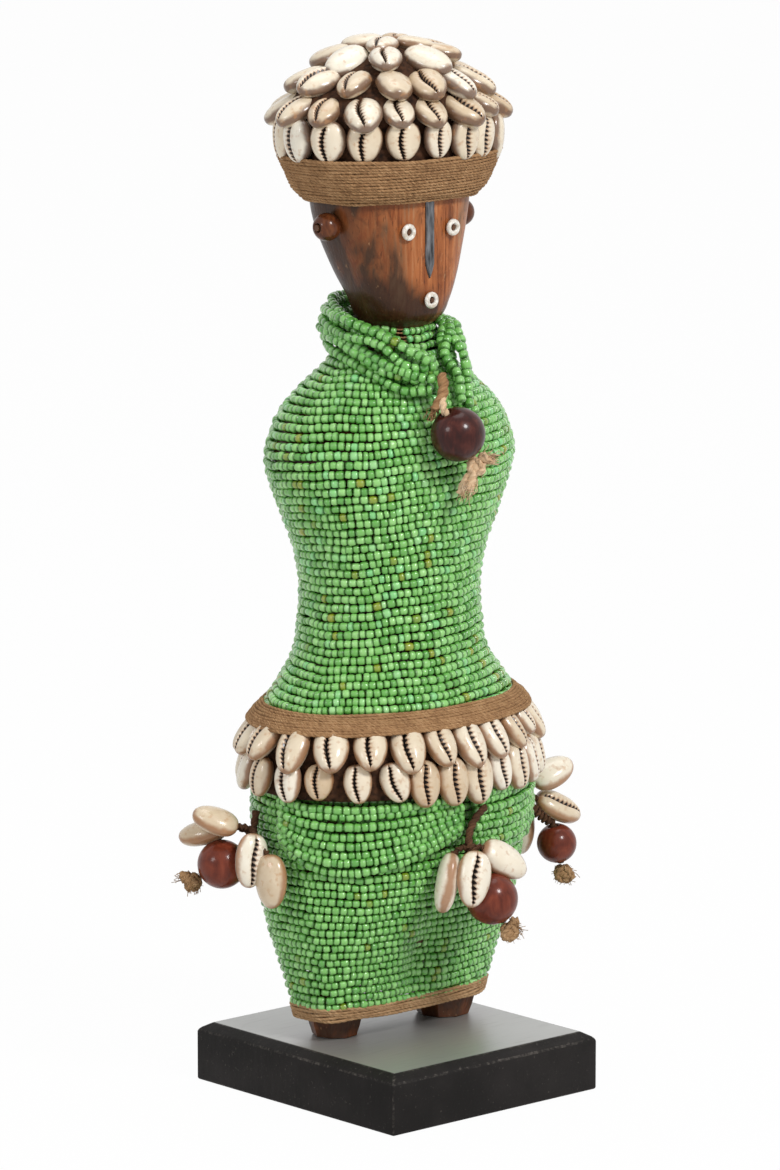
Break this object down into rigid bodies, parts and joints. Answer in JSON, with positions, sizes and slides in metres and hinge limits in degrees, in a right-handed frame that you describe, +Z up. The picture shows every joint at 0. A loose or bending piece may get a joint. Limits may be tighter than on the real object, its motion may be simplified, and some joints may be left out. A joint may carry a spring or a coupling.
{
  "type": "fertility doll",
  "caption": "Carved wooden doll wrapped in green bead strands, with a cowrie cap and belt, a pendant and swinging shell tassels, on a black plinth.",
  "frame": {"origin": "centre of the plinth's underside", "axes": "+Z up, the doll faces -Y, +X is the doll's left"},
  "size_m": [0.1429, 0.1, 0.355],
  "materials": {
    "black_paint": "black paint, satin, worn on the bevel",
    "screw_steel": "plain steel",
    "grey_metal": "dull hammered strip",
    "carved_wood": "oiled dark wood, satin",
    "white_bead": "white bead, semi-gloss",
    "green_beads": "opaque seed beads, glossy",
    "cowrie_shell": "natural cowrie, glossy",
    "brown_twine": "wound brown twine",
    "tan_twine": "raw tan twine",
    "dark_fibre": "dark brown fibre",
    "bead_wood": "lacquered dark red-brown bead"
  },
  "bodies": {
    "doll": {"plinth": "black_paint", "mounting_screw_right": "screw_steel", "mounting_screw_left": "screw_steel", "carved_figure": "carved_wood", "nose_strip": "grey_metal", "eye_right_ring": "white_bead", "eye_left_ring": "white_bead", "mouth_ring": "white_bead", "eye_right_peg": "carved_wood", "eye_left_peg": "carved_wood", "mouth_peg": "carved_wood", "ear_bead_right": "bead_wood", "ear_bead_left": "bead_wood", "ear_peg_right": "carved_wood", "ear_peg_left": "carved_wood", "cap_core": "dark_fibre", "cap_twine_band": "brown_twine", "cap_shell_tier_1": "cowrie_shell", "cap_shell_tier_2": "cowrie_shell", "cap_shell_tier_3": "cowrie_shell", "cap_shell_tier_4": "cowrie_shell", "cap_shell_tier_5": "cowrie_shell", "collar_strand": "green_beads", "torso_beads": "green_beads", "belt_backing": "dark_fibre", "belt_twine_band": "brown_twine", "belt_shell_row_upper": "cowrie_shell", "belt_shell_row_lower": "cowrie_shell", "skirt_beads": "green_beads", "hem_twine_band": "tan_twine"},
    "pendant": {"pendant_cord": "tan_twine", "pendant_knot": "tan_twine"},
    "pendant_bead": {"pendant_bead": "bead_wood"},
    "right_tassel": {"right_tassel_cord": "dark_fibre", "right_tassel_knot": "tan_twine"},
    "right_tassel_bead": {"right_tassel_bead": "bead_wood"},
    "right_tassel_shell_1": {"right_tassel_shell_1": "cowrie_shell"},
    "right_tassel_shell_2": {"right_tassel_shell_2": "cowrie_shell"},
    "right_tassel_shell_3": {"right_tassel_shell_3": "cowrie_shell"},
    "right_tassel_shell_4": {"right_tassel_shell_4": "cowrie_shell"},
    "front_tassel": {"front_tassel_cord": "dark_fibre", "front_tassel_knot": "tan_twine"},
    "front_tassel_bead": {"front_tassel_bead": "bead_wood"},
    "front_tassel_shell_1": {"front_tassel_shell_1": "cowrie_shell"},
    "front_tassel_shell_2": {"front_tassel_shell_2": "cowrie_shell"},
    "front_tassel_shell_3": {"front_tassel_shell_3": "cowrie_shell"},
    "left_tassel": {"left_tassel_cord": "dark_fibre", "left_tassel_knot": "tan_twine"},
    "left_tassel_bead": {"left_tassel_bead": "bead_wood"},
    "left_tassel_shell_1": {"left_tassel_shell_1": "cowrie_shell"},
    "left_tassel_shell_2": {"left_tassel_shell_2": "cowrie_shell"},
    "left_tassel_shell_3": {"left_tassel_shell_3": "cowrie_shell"}
  },
  "joints": [
    {"name": "pendant_swing", "type": "hinge", "parent": "doll", "child": "pendant", "pos_m": [-0.0058, -0.029, 0.2396], "axis": [-1, 0, 0], "range_deg": [0, 60]},
    {"name": "pendant_bead_spin", "type": "hinge", "parent": "pendant", "child": "pendant_bead", "pos_m": [-0.0063, -0.0373, 0.2275], "axis": [0.5334, -0.1067, -0.8391], "continuous": true},
    {"name": "right_tassel_swing", "type": "hinge", "parent": "doll", "child": "right_tassel", "pos_m": [-0.0512, 0.0124, 0.1], "axis": [0, 1, 0], "range_deg": [0, 35]},
    {"name": "right_tassel_bead_spin", "type": "hinge", "parent": "right_tassel", "child": "right_tassel_bead", "pos_m": [-0.0593, 0.0205, 0.0817], "axis": [-0.4451, 0.7121, -0.543], "continuous": true},
    {"name": "right_tassel_shell_1_flap", "type": "hinge", "parent": "right_tassel", "child": "right_tassel_shell_1", "pos_m": [-0.0563, 0.0157, 0.0945], "axis": [0, 1, 0], "range_deg": [0, 15]},
    {"name": "right_tassel_shell_2_flap", "type": "hinge", "parent": "right_tassel", "child": "right_tassel_shell_2", "pos_m": [-0.0551, 0.009, 0.0935], "axis": [0, 1, 0], "range_deg": [0, 15]},
    {"name": "right_tassel_shell_3_flap", "type": "hinge", "parent": "right_tassel", "child": "right_tassel_shell_3", "pos_m": [-0.0528, 0.0008, 0.088], "axis": [-1, 0, 0], "range_deg": [0, 15]},
    {"name": "right_tassel_shell_4_flap", "type": "hinge", "parent": "right_tassel", "child": "right_tassel_shell_4", "pos_m": [-0.0553, 0.0222, 0.0935], "axis": [1, 0, 0], "range_deg": [0, 15]},
    {"name": "front_tassel_swing", "type": "hinge", "parent": "doll", "child": "front_tassel", "pos_m": [0.0032, -0.0327, 0.103], "axis": [-1, 0, 0], "range_deg": [0, 45]},
    {"name": "front_tassel_bead_spin", "type": "hinge", "parent": "front_tassel", "child": "front_tassel_bead", "pos_m": [0.0057, -0.0413, 0.0706], "axis": [0.374, -0.2337, -0.8975], "continuous": true},
    {"name": "front_tassel_shell_1_flap", "type": "hinge", "parent": "front_tassel", "child": "front_tassel_shell_1", "pos_m": [-0.0018, -0.041, 0.088], "axis": [-1, 0, 0], "range_deg": [0, 15]},
    {"name": "front_tassel_shell_2_flap", "type": "hinge", "parent": "front_tassel", "child": "front_tassel_shell_2", "pos_m": [-0.0058, -0.0341, 0.0868], "axis": [0, 1, 0], "range_deg": [0, 15]},
    {"name": "front_tassel_shell_3_flap", "type": "hinge", "parent": "front_tassel", "child": "front_tassel_shell_3", "pos_m": [0.0042, -0.0385, 0.0878], "axis": [-1, 0, 0], "range_deg": [0, 15]},
    {"name": "left_tassel_swing", "type": "hinge", "parent": "doll", "child": "left_tassel", "pos_m": [0.0547, -0.0022, 0.1], "axis": [0, -1, 0], "range_deg": [0, 35]},
    {"name": "left_tassel_bead_spin", "type": "hinge", "parent": "left_tassel", "child": "left_tassel_bead", "pos_m": [0.0657, -0.0088, 0.075], "axis": [0.2166, -0.0542, -0.9748], "continuous": true},
    {"name": "left_tassel_shell_1_flap", "type": "hinge", "parent": "left_tassel", "child": "left_tassel_shell_1", "pos_m": [0.0587, -0.004, 0.095], "axis": [0, -1, 0], "range_deg": [0, 15]},
    {"name": "left_tassel_shell_2_flap", "type": "hinge", "parent": "left_tassel", "child": "left_tassel_shell_2", "pos_m": [0.0605, -0.0042, 0.0913], "axis": [-1, 0, 0], "range_deg": [0, 15]},
    {"name": "left_tassel_shell_3_flap", "type": "hinge", "parent": "left_tassel", "child": "left_tassel_shell_3", "pos_m": [0.0592, 0.0007, 0.0885], "axis": [0, -1, 0], "range_deg": [0, 15]}
  ]
}
